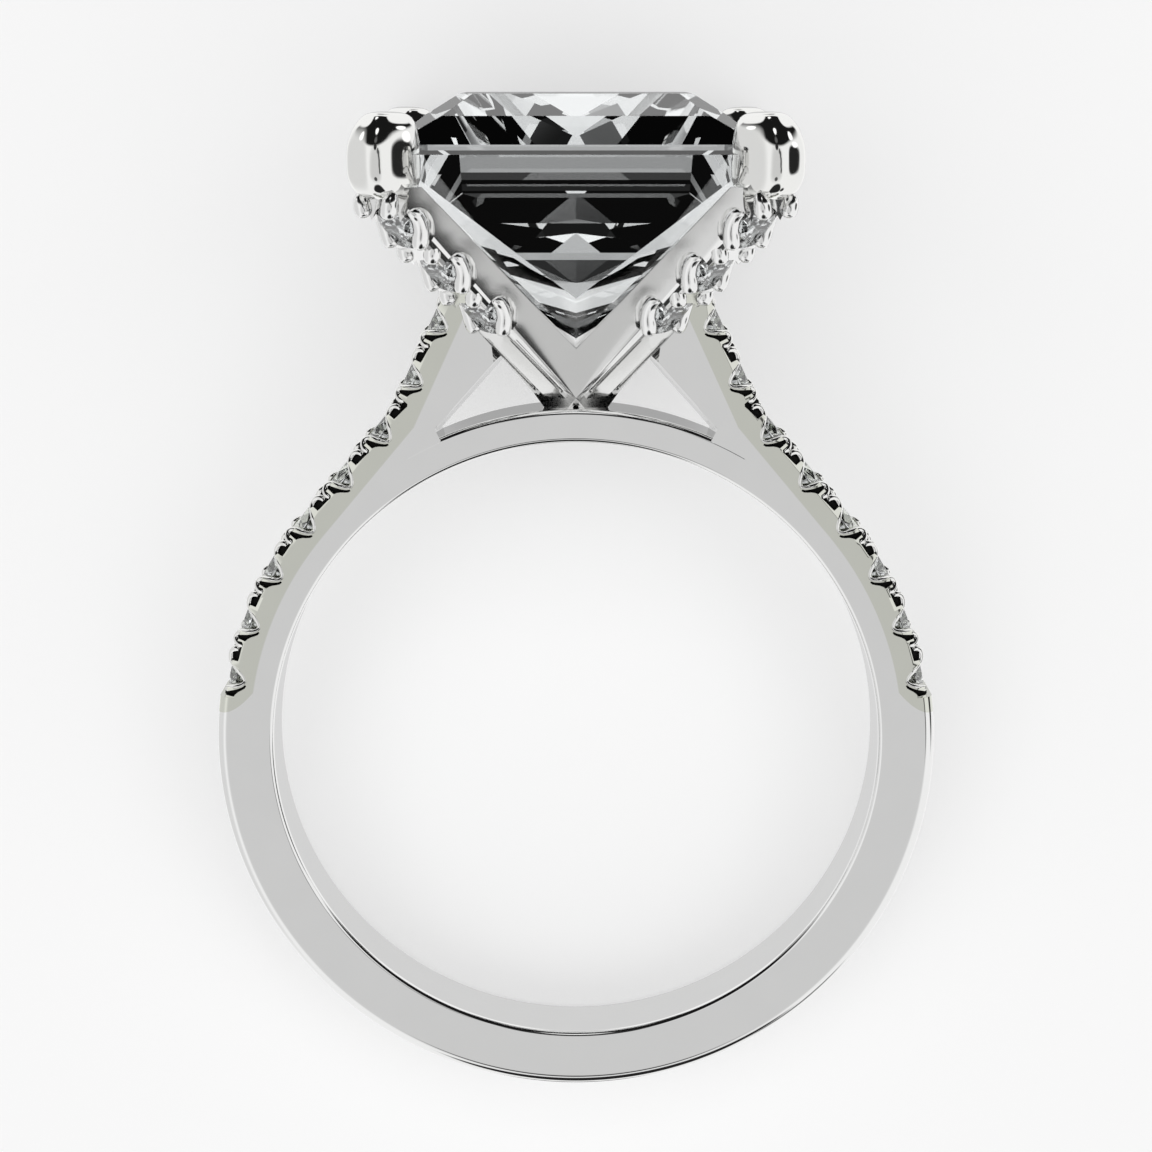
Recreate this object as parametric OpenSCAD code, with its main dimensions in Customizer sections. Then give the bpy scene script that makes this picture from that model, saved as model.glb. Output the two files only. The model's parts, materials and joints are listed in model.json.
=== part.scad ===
// Finger ring with a large square stone held by four claws over a thin bridge, and a row of
// small round stones on each shoulder and on each claw arm.
// The ring lies on its side: the hoop's axis is nearly upright, the head points to +Y, and the
// ring rests on two claws and on the hoop's far edge. Sizes are in millimetres.

/* [Hoop] */
// Inner diameter of the hoop
bore_d = 16.5; // [16.3:0.05:16.7]
// Width of the hoop along its axis
band_w = 2.35; // [2.25:0.05:2.5]
// Radial thickness of the plain part of the hoop
band_t = 1.55; // [1.5:0.05:1.65]
// Radial thickness of the bridge under the stone
bridge_t = 0.9; // [0.85:0.05:1]
// Rounding of the plain hoop's outer edges
edge_round = 0.3; // [0.2:0.05:0.35]
// Rounding of the bridge's outer edges
bridge_round = 0.15; // [0.1:0.05:0.2]
// Bevel round both ends of the finger hole
bore_bevel = 0.12; // [0.08:0.02:0.16]

/* [Shoulders] */
// Angle above the hoop's side where the bed of small stones begins
bed_start = 5; // [4:0.5:6]
// Depth of the bed below the plain hoop's outer edge
bed_drop = 0.12; // [0.08:0.02:0.16]
// Angle above the hoop's side where the shoulder leaves the circle
leave_angle = 40; // [39:0.5:41]
// Length of the shoulder's lower straight stretch
lower_run = 3.35; // [3.2:0.05:3.5]
// Angle by which the shoulder's upper stretch is steeper
rise_turn = 15.3; // [14:0.1:16]
// Radius of the curve between the two stretches
turn_r = 3; // [2.5:0.1:3.5]
// Length of the shoulder's upper straight stretch
upper_run = 3.2; // [3.1:0.05:3.3]
// Largest width of the bevel along the shoulder's inner edge
shoulder_bevel = 0.3; // [0.2:0.05:0.35]

/* [Claw arms] */
// Width of each claw arm
arm_w = 1.6; // [1.5:0.05:1.7]
// Slope of the claw arm's outer side above the bridge
arm_rise = 39.3; // [39:0.1:40]
// Length of the claw arm's outer side, up to the claw
arm_run = 8.75; // [8.7:0.05:8.85]
// Slope of the claw arm's inner side, under the stone
arm_inner_rise = 38.9; // [38.5:0.1:39.5]
// Height above the hoop's centre where the four inner sides meet
arm_inner_z = 10.2; // [10.1:0.05:10.3]
// Bevel along the lower outer edges of each claw arm
arm_bevel = 0.4; // [0.3:0.05:0.45]
// Height of the claw tips above the hoop's centre
claw_top = 17.04; // [16.98:0.02:17.1]
// Height of the claws' undersides above the hoop's centre
claw_bottom = 14.88; // [14.84:0.02:14.92]
// Distance of the claws' outer faces from the head's axis
claw_reach = 7.6; // [7.55:0.05:7.7]
// Rounding of the claws' outer ends, seen from the side
claw_round = 0.66; // [0.6:0.02:0.7]
// Rounding of the claws' outer corners, seen from above
claw_corner = 0.35; // [0.3:0.05:0.4]

/* [Square stone] */
// Width of the square stone
stone_w = 9.5; // [9.4:0.05:9.6]
// Width of its table
table_w = 6.0; // [5.8:0.05:6.2]
// Height of the table above the hoop's centre
table_z = 17.5; // [17.45:0.01:17.55]
// Height of the girdle's upper edge above the hoop's centre
girdle_z = 16.25; // [16.2:0.01:16.3]
// Thickness of the girdle
girdle_t = 0.25; // [0.2:0.01:0.3]
// Height of the lower point above the hoop's centre
culet_z = 10.95; // [10.9:0.01:11.05]
// Slope of the four large lower facets
main_slope = 55; // [53:0.5:57]

/* [Small stones] */
// Number of small stones on each shoulder
shoulder_count = 8; // [8]
// Distance between the small stones on a shoulder
shoulder_pitch = 1.62; // [1.6:0.01:1.63]
// Diameter of the small stones on the shoulders
shoulder_d = 1.4; // [1.35:0.01:1.42]
// Number of small stones on each claw arm
arm_count = 3; // [3]
// Distance between the small stones on a claw arm
arm_pitch = 1.86; // [1.84:0.01:1.88]
// Diameter of the small stones on the claw arms
arm_d = 1.3; // [1.26:0.01:1.32]
// Clear gap between every stone and the metal
seat_gap = 0.03; // [0.02:0.005:0.04]

/* [Hidden] */
$fn = 48;
bore_r = bore_d / 2;
hoop_r = bore_r + band_t;
bed_r = hoop_r - bed_drop;
bridge_r = bore_r + bridge_t;
half_w = band_w / 2;
half_arm = arm_w / 2;

// Shoulder, seen along the hoop's axis: the knee and foot of its inner edge, and its inner top
shoulder_knee = [3.1, 8.6];
shoulder_foot = [1.9, 10.3];
shoulder_top = [1.95, 11.5];
// Small square end that shows under each shoulder, between its knee and its foot
lug_size = [0.28, 0.44, 1.1];
lug_place = [2.66, 9.27];

// Places along the shoulder's outer side, measured from the hoop's side
leave_s = bed_r * leave_angle * PI / 180;
curve_s = leave_s + lower_run;
curve_len = turn_r * rise_turn * PI / 180;
top_s = curve_s + curve_len + upper_run;
first_s = bed_r * 10.7 * PI / 180;

// Claw arm, in its own upright plane: u runs out from the head's axis, z up from the hoop's centre
arm_foot = [0.35, 9.05];
arm_sink_z = 8.8;
arm_first_s = 4.19;
// How far each arm runs on into its claw, and how far its bevels run along it
arm_overlap = 0.2;
arm_bevel_s = 3.19;
// Claw, seen from the side: its tip over the stone, the start of its flat top, and its heel
claw_tip = [6.0, 16.6];
claw_crest = [6.35, 16.94];
claw_heel = [6.1, claw_bottom];
// Claw, seen from above: length and half width of its narrowed tip
claw_nose = [0.45, 0.3];

// Square stone: break between the two rows of upper facets, as shares of their width and height
break_out = 0.5;
break_up = 0.56;
// Share of the lower half's depth that the large lower facets reach down to
main_share = 0.755;
// Width cut off each corner of the girdle, and how far the corner facets reach into the table
corner_blunt = 0.09;
corner_reach = 0.25;

// Small stones: radii as shares of the stone's radius, heights as shares of its diameter
melee_table = 0.56;
melee_star = 0.8;
melee_lower = 0.24;
melee_crown = 0.15;
melee_girdle = 0.03;
melee_pavilion = 0.42;
// Depth of a small stone's table below its bed
seat_drop = 0.02;
// Beads that hold the small stones: radius, and distance from the stone's middle along its row
bead_r = 0.17;
shoulder_bead = [0.8, 0.62];
arm_bead = [0.62, 0.7];
// Scallop under each small stone, cut from side to side, and the nick between two stones
scallop_r = 0.4;
scallop_drop = 0.07;
nick_r = 0.1;
// Size of the cuts above the beds, and from side to side of them
cut_up = 1;
cut_across = 3;

// Angle by which the round bed and the straight shoulder run into each other
bed_overlap = 5;
far = 40;
metal = [0.80, 0.80, 0.79];
stone = [0.90, 0.95, 0.96];

shoulder_sides = [-1, 1];
arm_angles = [45, 135, 225, 315];
shoulder_stones = shoulder_count * len(shoulder_sides);
arm_stones = arm_count * len(arm_angles);

// Point and outward angle on the shoulder's outer side, at the length s from the hoop's side
function bed_at(s) =
    s < leave_s ? let (a = s / bed_r * 180 / PI) [bed_r * cos(a), bed_r * sin(a), a]
    : s < curve_s ? along(bed_at_leave(), leave_angle, s - leave_s)
    : s < curve_s + curve_len ? round_turn(s - curve_s)
    : along(round_turn(curve_len), leave_angle - rise_turn, s - curve_s - curve_len);
function bed_at_leave() = [bed_r * cos(leave_angle), bed_r * sin(leave_angle), leave_angle];
function along(p, a, t) = [p[0] - t * sin(a), p[1] + t * cos(a), a];
function round_turn(t) =
    let (p = along(bed_at_leave(), leave_angle, lower_run), a = leave_angle - t / turn_r * 180 / PI)
    [
        p[0] + turn_r * (cos(leave_angle) - cos(a)),
        p[1] + turn_r * (sin(leave_angle) - sin(a)),
        a,
    ];

// Point on the claw arm's outer side, at the length s from its foot
function arm_at(s) = arm_foot + s * [cos(arm_rise), sin(arm_rise)];

// Middles of the claw's rounded end, seen from the side, and of its corner, seen from above
claw_low_z = claw_bottom + claw_round;
claw_high_z = claw_top - claw_round;
claw_end_u = claw_reach - claw_round;
corner_u = claw_reach - claw_corner;
corner_t = half_arm - claw_corner;

// How far sideways the claw's corner reaches, at a height z on its rounded underside
function claw_out(z) =
    let (u = claw_end_u + sqrt(claw_round ^ 2 - (claw_low_z - z) ^ 2))
    u > corner_u + claw_corner / sqrt(2) ? (corner_u + corner_t) / sqrt(2) + claw_corner
    : u > corner_u ? (u + corner_t + sqrt(claw_corner ^ 2 - (u - corner_u) ^ 2)) / sqrt(2)
    : (u + half_arm) / sqrt(2);

// The ring leans so that both the hoop's edge and the claws touch the surface
rest_hoop = [-(hoop_r - edge_round), -(half_w - edge_round)];
claw_steps = 40;
lean = max([
    for (k = [1 : claw_steps])
        let (z = claw_bottom + claw_round * k / claw_steps, line = [z, -claw_out(z)] - rest_hoop)
        atan2(-line[1], line[0]) - asin(edge_round / norm(line))
]);
rest_h = edge_round - (rest_hoop[0] * sin(lean) + rest_hoop[1] * cos(lean));

// It is laid with the middle of its length over the origin
back_y = rest_hoop[0] * cos(lean) + rest_hoop[1] * sin(lean) - edge_round;
front_y = claw_high_z * cos(lean) + (claw_end_u + half_arm) * sin(lean) / sqrt(2)
    + claw_round * sqrt(cos(lean) ^ 2 + sin(lean) ^ 2 / 2);

// Removes all that lies beyond the plane through p, q and r, on the side away from the point inner
module beyond(p, q, r, inner, grow = 0) {
    normal = cross(q - p, r - p);
    n = normal / norm(normal) * (normal * (inner - p) < 0 ? 1 : -1);
    translate(p + grow * n)
        rotate([0, acos(n[2]), atan2(n[1], n[0])])
            translate([-far / 2, -far / 2, 0]) cube(far);
}

module laid() {
    translate([0, -(front_y + back_y) / 2, rest_h]) rotate([lean, 0, 0]) children();
}

// Turns what is drawn upright, with Z along the head's axis, into the hoop's own frame
module head_frame() {
    rotate([-90, 0, 0]) children();
}

// Places a small stone's frame on a shoulder: Z outwards, Y along the row, X across it
module on_shoulder(side, s) {
    p = bed_at(s);
    mirror([side < 0 ? 1 : 0, 0, 0])
        translate([p[0], p[1], 0]) rotate([0, 90, p[2]]) children();
}

// The same on a claw arm, in the arm's own upright plane
module on_arm(s) {
    p = arm_at(s);
    translate([p[0], 0, p[1]]) rotate([0, 180 - arm_rise, 0]) rotate([0, 0, 90]) children();
}

module band_section(r, round) {
    translate([bore_r, -half_w]) square([r - bore_r - round, band_w]);
    translate([bore_r, round - half_w]) square([r - bore_r, band_w - 2 * round]);
    for (side = [-1, 1])
        translate([r - round, side * (half_w - round)]) circle(round);
}

// Plain lower part of the hoop, up to the beds of small stones
module plain_hoop() {
    rotate([0, 0, 180 - bed_start])
        rotate_extrude(angle = 180 + 2 * bed_start, $fn = 96) band_section(hoop_r, edge_round);
}

// Thinner ring that runs all the way round and shows as the bridge under the stone
module bridge() {
    rotate_extrude($fn = 96) band_section(bridge_r, bridge_round);
}

// Round part of the stones' bed, on the right-hand side
module bed_sector() {
    low = [cos(bed_start), sin(bed_start)];
    high = [cos(leave_angle + bed_overlap), sin(leave_angle + bed_overlap)];
    intersection() {
        cylinder(h = band_w, r = bed_r, center = true, $fn = 96);
        linear_extrude(band_w, center = true) polygon([[0, 0], far * low, far * high]);
    }
}

// Shoulder that rises from the hoop to the head, on the right-hand side
module shoulder() {
    touch_angle = atan2(shoulder_knee[1], shoulder_knee[0]) - acos(bore_r / norm(shoulder_knee));
    touch = bore_r * [cos(touch_angle), sin(touch_angle)];
    run = (shoulder_foot - touch) / norm(shoulder_foot - touch);
    inward = [run[1], -run[0]];
    foot_in = shoulder_foot + shoulder_bevel * inward;
    leave = bed_at(leave_s);
    top = bed_at(top_s);
    root_angle = leave_angle - bed_overlap;
    difference() {
        linear_extrude(band_w, center = true)
            polygon(concat(
                [[leave[0], leave[1]]],
                [for (k = [0 : 4]) let (p = bed_at(curve_s + curve_len * k / 4)) [p[0], p[1]]],
                [[top[0], top[1]], shoulder_top, shoulder_foot, shoulder_knee, touch],
                [(bore_r + bed_r) / 2 * [cos(root_angle), sin(root_angle)]]
            ));
        for (side = [-1, 1])
            beyond(
                [touch[0], touch[1], side * half_w],
                [foot_in[0], foot_in[1], side * half_w],
                [shoulder_foot[0], shoulder_foot[1], side * (half_w - shoulder_bevel)],
                [bed_r, bed_r, 0]
            );
    }
    translate([lug_place[0], lug_place[1], 0])
        rotate([0, 0, atan2(run[1], run[0])]) cube(lug_size, center = true);
}

// One claw arm in its own upright plane, from the bridge up to the claw
module arm_bar() {
    top = arm_at(arm_run);
    top_u = claw_tip[0] + arm_overlap;
    top_in = [top_u, arm_inner_z + top_u * tan(arm_inner_rise)];
    bevel_side = arm_bevel * sqrt(2);
    difference() {
        rotate([90, 0, 0]) linear_extrude(arm_w, center = true)
            polygon([
                [0, arm_sink_z],
                [arm_foot[0], arm_sink_z],
                arm_foot,
                top,
                [top[0], top_in[1]],
                top_in,
                [0, arm_inner_z],
            ]);
        for (side = [-1, 1])
            translate([arm_foot[0], side * half_arm, arm_foot[1]])
                rotate([0, -arm_rise, 0]) rotate([45, 0, 0])
                    cube([2 * arm_bevel_s, bevel_side, bevel_side], center = true);
    }
}

// Claw over one corner of the square stone: its side outline crossed with its outline from above
module claw() {
    intersection() {
        rotate([90, 0, 0]) linear_extrude(arm_w, center = true) {
            translate([claw_end_u, claw_low_z]) circle(claw_round);
            translate([claw_end_u, claw_high_z]) circle(claw_round);
            translate([claw_end_u, claw_low_z]) square([claw_round, claw_high_z - claw_low_z]);
            polygon([
                [claw_end_u, claw_bottom],
                [claw_end_u, claw_top],
                claw_crest,
                claw_tip,
                claw_heel,
            ]);
        }
        translate([0, 0, claw_bottom]) linear_extrude(claw_top - claw_bottom) {
            polygon([
                [claw_tip[0], -claw_nose[1]],
                [claw_tip[0] + claw_nose[0], -half_arm],
                [corner_u, -half_arm],
                [corner_u, half_arm],
                [claw_tip[0] + claw_nose[0], half_arm],
                [claw_tip[0], claw_nose[1]],
            ]);
            translate([corner_u, -corner_t]) square([claw_corner, 2 * corner_t]);
            for (side = [-1, 1])
                translate([corner_u, side * corner_t]) circle(claw_corner);
        }
    }
}

// Beads at the four corners of a small stone
module beads(place) {
    for (x = [-1, 1], y = [-1, 1])
        translate([x * place[0], y * place[1], 0]) sphere(bead_r, $fn = 24);
}

// What is cut away for a small stone: its seat, and the scallop from side to side under it
module seat(d) {
    seat_r = d / 2 + seat_gap;
    ledge = seat_drop + (melee_crown + melee_girdle) * d + seat_gap;
    translate([0, 0, -ledge]) cylinder(h = cut_up, r = seat_r);
    translate([0, 0, -ledge - melee_pavilion * d]) cylinder(h = melee_pavilion * d, r1 = 0, r2 = seat_r);
    translate([0, 0, -scallop_drop])
        rotate([0, 90, 0]) cylinder(h = cut_across, r = scallop_r, center = true);
}

// Nick between the beads of two neighbouring small stones
module nick() {
    rotate([0, 90, 0]) cylinder(h = cut_across, r = nick_r, center = true);
}

// Hoop, shoulders, bridge, claw arms and claws, cast and soldered into one piece
module ring_mount() {
    color(metal) laid() difference() {
        union() {
            plain_hoop();
            bridge();
            for (side = [0, 1]) mirror([side, 0, 0]) {
                bed_sector();
                shoulder();
            }
            head_frame() for (a = arm_angles) rotate([0, 0, a]) {
                arm_bar();
                claw();
                for (k = [0 : arm_count - 1]) on_arm(arm_first_s + k * arm_pitch) beads(arm_bead);
            }
            for (side = shoulder_sides, k = [0 : shoulder_count - 1])
                on_shoulder(side, first_s + k * shoulder_pitch) beads(shoulder_bead);
        }
        cylinder(h = 3 * band_w, r = bore_r, center = true, $fn = 96);
        for (side = [0, 1]) mirror([0, 0, side])
            translate([0, 0, half_w - bore_bevel])
                cylinder(h = 2 * bore_bevel, r1 = bore_r, r2 = bore_r + 2 * bore_bevel, $fn = 96);
        for (side = shoulder_sides, k = [0 : shoulder_count - 1])
            on_shoulder(side, first_s + k * shoulder_pitch) {
                seat(shoulder_d);
                translate([0, shoulder_pitch / 2, 0]) nick();
            }
        head_frame() {
            for (a = arm_angles, k = [0 : arm_count - 1])
                rotate([0, 0, a]) on_arm(arm_first_s + k * arm_pitch) {
                    seat(arm_d);
                    translate([0, -arm_pitch / 2, 0]) nick();
                }
            square_cut(seat_gap);
        }
    }
}

// Square stone, cut from a block plane by plane, with every plane moved outwards by grow
module square_cut(grow = 0) {
    w = stone_w / 2;
    t = table_w / 2;
    low_z = girdle_z - girdle_t;
    inner = [0, 0, low_z];
    culet = [0, 0, culet_z];
    // Lower end of the large lower facet, above the point
    drop = (low_z - culet_z) * main_share;
    tip = [w - drop / tan(main_slope), 0, low_z - drop];
    // Break between the two rows of upper facets
    break_x = t + break_out * (w - t);
    break_z = girdle_z + break_up * (table_z - girdle_z);
    corner = w * sqrt(2) - corner_blunt;
    kite = [t * sqrt(2) - corner_reach, 0, table_z];
    difference() {
        translate([-w - grow, -w - grow, culet_z - 1])
            cube([stone_w + 2 * grow, stone_w + 2 * grow, table_z - culet_z + 1 + grow]);
        for (a = [0, 90, 180, 270]) rotate([0, 0, a]) {
            beyond([w, -1, girdle_z], [w, 1, girdle_z], [break_x, 0, break_z], inner, grow);
            beyond([t, -1, table_z], [t, 1, table_z], [break_x, 0, break_z], inner, grow);
            beyond([w, -1, low_z], [w, 1, low_z], tip, inner, grow);
            for (side = [-1, 1])
                beyond([w, side * w, low_z], tip, culet, inner, grow);
            // Corner: blunted girdle, and a long kite above it
            rotate([0, 0, 45]) {
                beyond([corner, -1, low_z], [corner, 1, low_z], [corner, 0, girdle_z], inner, grow);
                beyond([corner, -1, girdle_z], [corner, 1, girdle_z], kite, inner, grow);
            }
        }
    }
}

module square_stone() {
    color(stone) laid() head_frame() square_cut();
}

// Round brilliant of diameter d, with its table at Z = 0 and its point downwards
module round_cut(d) {
    r = d / 2;
    crown_h = melee_crown * d;
    girdle_h = melee_girdle * d;
    pavilion_h = melee_pavilion * d;
    table_r = melee_table * r;
    star_r = melee_star * r;
    lower_r = melee_lower * r;
    // Heights that keep the kite facets flat
    star_z = crown_h * (r - star_r * cos(22.5)) / (r - table_r) - crown_h;
    lower_z = -crown_h - girdle_h - pavilion_h * (1 - melee_lower * cos(22.5));
    points = concat(
        [for (k = [0 : 7]) [table_r * cos(45 * k), table_r * sin(45 * k), 0]],
        [for (k = [0 : 7]) [star_r * cos(45 * k + 22.5), star_r * sin(45 * k + 22.5), star_z]],
        [for (k = [0 : 15]) [r * cos(22.5 * k), r * sin(22.5 * k), -crown_h]],
        [for (k = [0 : 15]) [r * cos(22.5 * k), r * sin(22.5 * k), -crown_h - girdle_h]],
        [for (k = [0 : 7]) [lower_r * cos(45 * k + 22.5), lower_r * sin(45 * k + 22.5), lower_z]],
        [[0, 0, -crown_h - girdle_h - pavilion_h]]
    );
    star = 8;
    top = 16;
    under = 32;
    lower = 48;
    point = 56;
    faces = concat(
        [[for (k = [7 : -1 : 0]) k]],
        [for (k = [0 : 7]) [k, (k + 1) % 8, star + k]],
        [for (k = [0 : 7]) [k, star + k, top + 2 * k, star + (k + 7) % 8]],
        [for (k = [0 : 7]) [star + k, top + 2 * k + 1, top + 2 * k]],
        [for (k = [0 : 7]) [star + k, top + (2 * k + 2) % 16, top + 2 * k + 1]],
        [for (k = [0 : 15]) [top + k, top + (k + 1) % 16, under + (k + 1) % 16, under + k]],
        [for (k = [0 : 7]) [under + 2 * k, under + 2 * k + 1, lower + k]],
        [for (k = [0 : 7]) [under + 2 * k + 1, under + (2 * k + 2) % 16, lower + k]],
        [for (k = [0 : 7]) [under + 2 * k, lower + k, point, lower + (k + 7) % 8]]
    );
    polyhedron(points, faces);
}

// Small stones of the shoulders: up the right-hand shoulder first, then up the left-hand one
module shoulder_stone(k) {
    side = shoulder_sides[floor((k - 1) / shoulder_count)];
    step = (k - 1) % shoulder_count;
    color(stone) laid()
        on_shoulder(side, first_s + step * shoulder_pitch)
            translate([0, 0, -seat_drop]) round_cut(shoulder_d);
}

// Small stones of the claw arms, from the bridge up each arm
module claw_arm_stone(k) {
    a = arm_angles[floor((k - 1) / arm_count)];
    step = (k - 1) % arm_count;
    color(stone) laid() head_frame()
        rotate([0, 0, a]) on_arm(arm_first_s + step * arm_pitch)
            translate([0, 0, -seat_drop]) round_cut(arm_d);
}

ring_mount();
square_stone();
for (k = [1 : shoulder_stones])
    shoulder_stone(k);
for (k = [1 : arm_stones])
    claw_arm_stone(k);
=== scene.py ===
import json
import math
import bpy
from mathutils import Matrix, Vector


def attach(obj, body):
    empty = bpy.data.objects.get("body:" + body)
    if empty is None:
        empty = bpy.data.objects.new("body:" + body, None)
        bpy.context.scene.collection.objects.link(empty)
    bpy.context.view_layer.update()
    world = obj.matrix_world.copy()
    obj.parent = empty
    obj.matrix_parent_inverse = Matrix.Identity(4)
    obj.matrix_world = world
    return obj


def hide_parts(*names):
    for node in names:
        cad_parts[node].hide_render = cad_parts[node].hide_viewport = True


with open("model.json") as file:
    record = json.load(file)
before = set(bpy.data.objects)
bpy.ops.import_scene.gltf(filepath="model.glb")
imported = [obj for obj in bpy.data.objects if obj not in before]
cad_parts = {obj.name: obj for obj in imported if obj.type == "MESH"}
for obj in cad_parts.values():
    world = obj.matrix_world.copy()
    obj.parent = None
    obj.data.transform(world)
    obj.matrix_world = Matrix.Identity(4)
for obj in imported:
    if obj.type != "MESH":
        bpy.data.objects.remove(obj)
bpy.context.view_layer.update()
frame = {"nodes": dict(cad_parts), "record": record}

# How the ring lies. It is drawn upright in millimetres, with the finger hole along Z and the
# stone towards +Y, then laid down so that it rests on two claws and on the hoop's edge.
hole = frame["record"]["mounts"][0]
lean = math.atan2(-hole["axis"][1], hole["axis"][2])
MM = 0.001
laid = Matrix.Translation(hole["pos_m"]) @ Matrix.Rotation(lean, 4, "X") @ Matrix.Scale(MM, 4)
bpy.context.scene.view_settings.view_transform = "Standard"

# Camera: a long lens from far off, nearly straight above the ring as it lies. It sees the
# ring from the same side, and at the same size, as the photograph does.
CAMERA_PLACE = (0.0, 18.095, 77.31)
CAMERA_PITCH = math.radians(10.026)
camera_data = bpy.data.cameras.new("camera")
camera_data.lens = 89.44
camera_data.sensor_width = 36.0
camera_data.clip_start = 0.002
camera_data.clip_end = 20.0
camera = bpy.data.objects.new("camera", camera_data)
bpy.context.scene.collection.objects.link(camera)
camera.location = laid @ Vector(CAMERA_PLACE)
camera.rotation_euler = (lean - CAMERA_PITCH, 0.0, 0.0)
bpy.context.scene.camera = camera

# Polished white gold of the whole mount, cast and polished by hand, so its colour and gloss
# vary a little. The small prongs and the claw arms have copies of it with other tones.
GOLD_SHADOW, GOLD_LIGHT = (0.86, 0.86, 0.855), (0.90, 0.90, 0.895)
# Warmer light end for the claws and the shoulders' prongs: a painted reflection tint.
FITTINGS_PAINTED_TINT = (0.90, 0.90, 0.87)
POLISHED, SATIN = (0.03, 0.09), (0.11, 0.15)


def mottled(name, scale, detail, shadow, light):
    """A new material whose colour changes a little from place to place, and its noise."""
    material = bpy.data.materials.new(name)
    material.use_nodes = True
    nodes, links = material.node_tree.nodes, material.node_tree.links
    place = nodes.new("ShaderNodeTexCoord")
    noise = nodes.new("ShaderNodeTexNoise")
    noise.inputs["Scale"].default_value = scale
    noise.inputs["Detail"].default_value = detail
    links.new(place.outputs["Object"], noise.inputs["Vector"])
    tone = nodes.new("ShaderNodeMix")
    tone.data_type = "RGBA"
    tone.inputs["A"].default_value = (*shadow, 1)
    tone.inputs["B"].default_value = (*light, 1)
    links.new(noise.outputs["Fac"], tone.inputs["Factor"])
    links.new(tone.outputs["Result"], nodes["Principled BSDF"].inputs["Base Color"])
    return material, noise


gold, wear = mottled("white_gold", scale=900.0, detail=4.0, shadow=GOLD_SHADOW, light=GOLD_LIGHT)
shader = gold.node_tree.nodes["Principled BSDF"]
shader.inputs["Metallic"].default_value = 1.0
gloss = gold.node_tree.nodes.new("ShaderNodeMapRange")
gloss.inputs["To Min"].default_value, gloss.inputs["To Max"].default_value = POLISHED
gold.node_tree.links.new(wear.outputs["Fac"], gloss.inputs["Value"])
gold.node_tree.links.new(gloss.outputs["Result"], shader.inputs["Roughness"])

# A copy of the gold with the painted reflection tint, for the claws and the shoulders' prongs.
polish = gold.copy()
polish.name = "white_gold_fittings"
polish.node_tree.nodes["Mix"].inputs["B"].default_value = (*FITTINGS_PAINTED_TINT, 1)
satin = gold.copy()
satin.name = "white_gold_satin"
gloss = satin.node_tree.nodes["Map Range"]
gloss.inputs["To Min"].default_value, gloss.inputs["To Max"].default_value = SATIN

# Lower hoop: a plain band of white gold with rounded outer edges, cast in one with the
# shoulders. It is a traced section, spun round the finger hole.
BORE, BORE_ROUND = 8.25, 0.15
ROUGH_BORE = 8.0
HOOP_R, HOOP_ROUND = 9.8, 0.3
HALF_W = 1.175
HOOP_END = 7.6
HOOP_STEPS = 240
MERGE_POINTS, MERGE_SOLIDS = 1e-5, 2e-4


def alone(piece):
    """Leaves this piece alone selected, and active."""
    bpy.ops.object.select_all(action="DESELECT")
    bpy.context.view_layer.objects.active = piece
    piece.select_set(True)


def trace(name, points):
    """Draws an outline point by point, as one face."""
    points = [Vector(p) for p in points]
    bpy.ops.object.select_all(action="DESELECT")
    bpy.ops.mesh.primitive_plane_add(size=0.1, location=points[0])
    piece = bpy.context.object
    piece.name = name
    bpy.ops.object.transform_apply()
    bpy.ops.object.mode_set(mode="EDIT")
    bpy.ops.mesh.select_mode(type="VERT")
    bpy.ops.mesh.select_all(action="SELECT")
    bpy.ops.mesh.merge(type="CENTER")
    for last, following in zip(points, points[1:]):
        bpy.ops.mesh.extrude_region_move(TRANSFORM_OT_translate={"value": following - last})
    bpy.ops.mesh.select_all(action="SELECT")
    bpy.ops.mesh.edge_face_add()
    bpy.ops.object.mode_set(mode="OBJECT")
    return piece


def plate(name, outline, low, high):
    """A traced outline in the ring's plane, as thick as from low to high."""
    piece = trace(name, [(x, y, low) for x, y in outline])
    bpy.ops.object.mode_set(mode="EDIT")
    bpy.ops.mesh.select_all(action="SELECT")
    bpy.ops.mesh.extrude_region_move(TRANSFORM_OT_translate={"value": (0, 0, high - low)})
    bpy.ops.mesh.select_all(action="SELECT")
    bpy.ops.mesh.normals_make_consistent(inside=False)
    bpy.ops.object.mode_set(mode="OBJECT")
    return piece


def quarter(middle, radius, start, steps=8, sweep=90):
    """Points of a rounded edge, as (distance, height), from the angle start."""
    turns = [math.radians(start + sweep * k / steps) for k in range(steps + 1)]
    return [(middle[0] + radius * math.cos(a), middle[1] + radius * math.sin(a)) for a in turns]


def spun(name, section, start, sweep, steps):
    """A section of (distance, height) points, spun round the finger hole."""
    first = math.radians(start)
    piece = trace(name, [(r * math.cos(first), r * math.sin(first), z) for r, z in section])
    bpy.ops.object.mode_set(mode="EDIT")
    bpy.ops.mesh.select_all(action="SELECT")
    if sweep == 360:
        bpy.ops.mesh.delete(type="ONLY_FACE")
        bpy.ops.mesh.select_all(action="SELECT")
    bpy.ops.mesh.spin(steps=steps, angle=-math.radians(sweep), center=(0, 0, 0), axis=(0, 0, 1))
    bpy.ops.mesh.select_all(action="SELECT")
    bpy.ops.mesh.remove_doubles(threshold=MERGE_POINTS)
    bpy.ops.mesh.normals_make_consistent(inside=False)
    bpy.ops.object.mode_set(mode="OBJECT")
    return piece


def band_section(inner, outer, rounding):
    """Section of a band with straight sides and rounded outer edges."""
    low = quarter((outer - rounding, rounding - HALF_W), rounding, -90)
    high = quarter((outer - rounding, HALF_W - rounding), rounding, 0)
    return [(inner, -HALF_W)] + low + high + [(inner, HALF_W)]


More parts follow.
